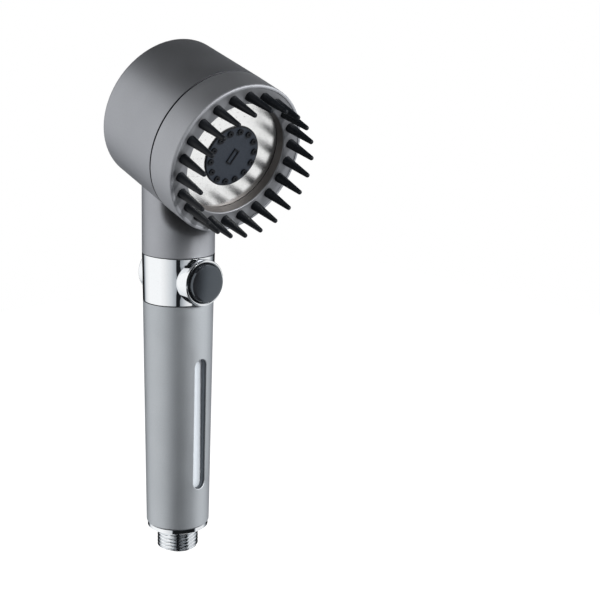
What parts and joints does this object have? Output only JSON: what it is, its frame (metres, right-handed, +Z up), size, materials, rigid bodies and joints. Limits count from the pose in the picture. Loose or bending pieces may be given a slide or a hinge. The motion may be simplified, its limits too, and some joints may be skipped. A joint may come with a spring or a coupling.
{
  "type": "handheld shower head",
  "caption": "Handheld shower head: tilted drum with a steel spray plate ringed by soft bristles, a turning mode ring, a push-through stop valve and a windowed filter handle.",
  "frame": {"origin": "centre of the shoulder at the lower end of the handle, which the hose nut seats against, on the hose thread axis", "axes": "+Z up the handle axis, -Y the way that the head sprays and the stop button faces, +X completes the right-handed frame"},
  "size_m": [0.0744, 0.0921, 0.2594],
  "materials": {
    "satin_grey_paint": "satin metallic paint",
    "handle_grey_paint": "satin metallic paint",
    "chrome": "polished",
    "black_silicone": "matt",
    "polished_steel": "polished",
    "plain_steel": "bright",
    "button_black": "satin",
    "clear_plastic": "clear",
    "filter_white": "wound fibre",
    "inner_white_plastic": "moulded",
    "seal_rubber": "matt"
  },
  "bodies": {
    "handset": {"head_shell": "satin_grey_paint", "handle_tube": "handle_grey_paint", "inlet_fitting": "handle_grey_paint", "chrome_collar": "chrome", "inlet_screen": "polished_steel", "seat_screws": "plain_steel", "seal_spring": "plain_steel", "thrust_washer": "plain_steel", "pivot_screw": "plain_steel", "clear_liner": "clear_plastic", "filter_core": "filter_white", "diverter_seat": "inner_white_plastic", "valve_body": "inner_white_plastic", "filter_cap_lower": "inner_white_plastic", "filter_cap_upper": "inner_white_plastic", "seat_o_ring": "seal_rubber", "port_seal": "seal_rubber", "neck_o_ring": "seal_rubber", "handle_o_ring": "seal_rubber", "liner_gaskets": "seal_rubber"},
    "mode_ring": {"front_ring": "satin_grey_paint", "massage_comb": "black_silicone", "spray_plate": "polished_steel", "nozzle_disc": "black_silicone", "rotor": "inner_white_plastic", "plate_gasket": "seal_rubber", "ring_screws": "plain_steel"},
    "stop_spool": {"valve_spool": "inner_white_plastic", "spool_o_rings": "seal_rubber", "stop_button": "button_black", "release_button": "button_black"}
  },
  "joints": [
    {"name": "mode_turn", "type": "hinge", "parent": "handset", "child": "mode_ring", "pos_m": [0, -0.0452, 0.19444], "axis": [0, -0.9455, -0.3256], "range_deg": [0, 120]},
    {"name": "stop_push", "type": "slide", "parent": "handset", "child": "stop_spool", "axis": [0, 1, 0], "range_m": [0, 0.0032]}
  ]
}
